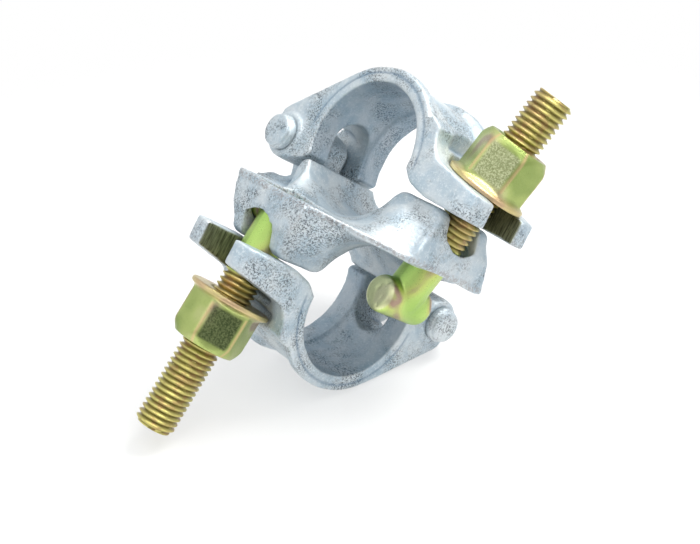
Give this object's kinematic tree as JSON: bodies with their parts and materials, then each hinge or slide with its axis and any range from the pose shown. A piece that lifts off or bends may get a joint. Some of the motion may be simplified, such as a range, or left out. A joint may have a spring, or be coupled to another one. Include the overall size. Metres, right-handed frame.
{
  "type": "scaffold coupler",
  "caption": "Drop-forged right-angle scaffold coupler with two hinged flaps, T-bolts and flange nuts, for clamping two tubes at 90 degrees.",
  "frame": {"origin": "on the lower tube's axis, under the middle of the upper tube", "axes": "+X along the lower tube towards the upper clamp's bolt side, +Y along the upper tube towards the lower clamp's hinge side, +Z from the lower tube to the upper tube"},
  "size_m": [0.1063, 0.1048, 0.1595],
  "materials": {
    "galvanised_body": "rough",
    "galvanised_flap": "rough",
    "galvanised_rivet": "satin",
    "yellow_zinc_bolt": "satin",
    "yellow_zinc_nut": "satin"
  },
  "bodies": {
    "root": {"coupler_body": "galvanised_body", "upper_hinge_rivet": "galvanised_rivet", "lower_hinge_rivet": "galvanised_rivet"},
    "upper_flap_body": {"upper_flap": "galvanised_flap"},
    "lower_flap_body": {"lower_flap": "galvanised_flap"},
    "upper_bolt_body": {"upper_t_bolt": "yellow_zinc_bolt"},
    "lower_bolt_body": {"lower_t_bolt": "yellow_zinc_bolt"},
    "upper_nut_body": {"upper_flange_nut": "yellow_zinc_nut"},
    "lower_nut_body": {"lower_flange_nut": "yellow_zinc_nut"}
  },
  "joints": [
    {"name": "upper_flap_hinge", "type": "hinge", "parent": "root", "child": "upper_flap_body", "pos_m": [-0.0388, 0, 0.0443], "axis": [0, -1, 0], "range_deg": [0, 24]},
    {"name": "lower_flap_hinge", "type": "hinge", "parent": "root", "child": "lower_flap_body", "pos_m": [0, 0.0388, 0.0075], "axis": [1, 0, 0], "range_deg": [0, 24]},
    {"name": "upper_bolt_lift", "type": "slide", "parent": "root", "child": "upper_bolt_body", "axis": [0.2334, 0, 0.9724], "range_m": [0, 0.021]},
    {"name": "lower_bolt_swing", "type": "hinge", "parent": "root", "child": "lower_bolt_body", "pos_m": [0, -0.0369, 0.0201], "axis": [-1, 0, 0], "range_deg": [0, 5]},
    {"name": "upper_nut_travel", "type": "slide", "parent": "upper_bolt_body", "child": "upper_nut_body", "axis": [0.2334, 0, 0.9724], "range_m": [0, 0.0175]},
    {"name": "lower_nut_travel", "type": "slide", "parent": "lower_bolt_body", "child": "lower_nut_body", "axis": [0, -0.1028, -0.9947], "range_m": [0, 0.031]}
  ],
  "couplings": [
    {"joint": "upper_bolt_lift", "follows": "upper_flap_hinge", "m_per_rad": 0.050133},
    {"joint": "upper_nut_travel", "follows": "upper_flap_hinge", "m_per_rad": 0.041777},
    {"joint": "lower_bolt_swing", "follows": "lower_flap_hinge", "ratio": 0.20833},
    {"joint": "lower_nut_travel", "follows": "lower_flap_hinge", "m_per_rad": 0.074006}
  ]
}
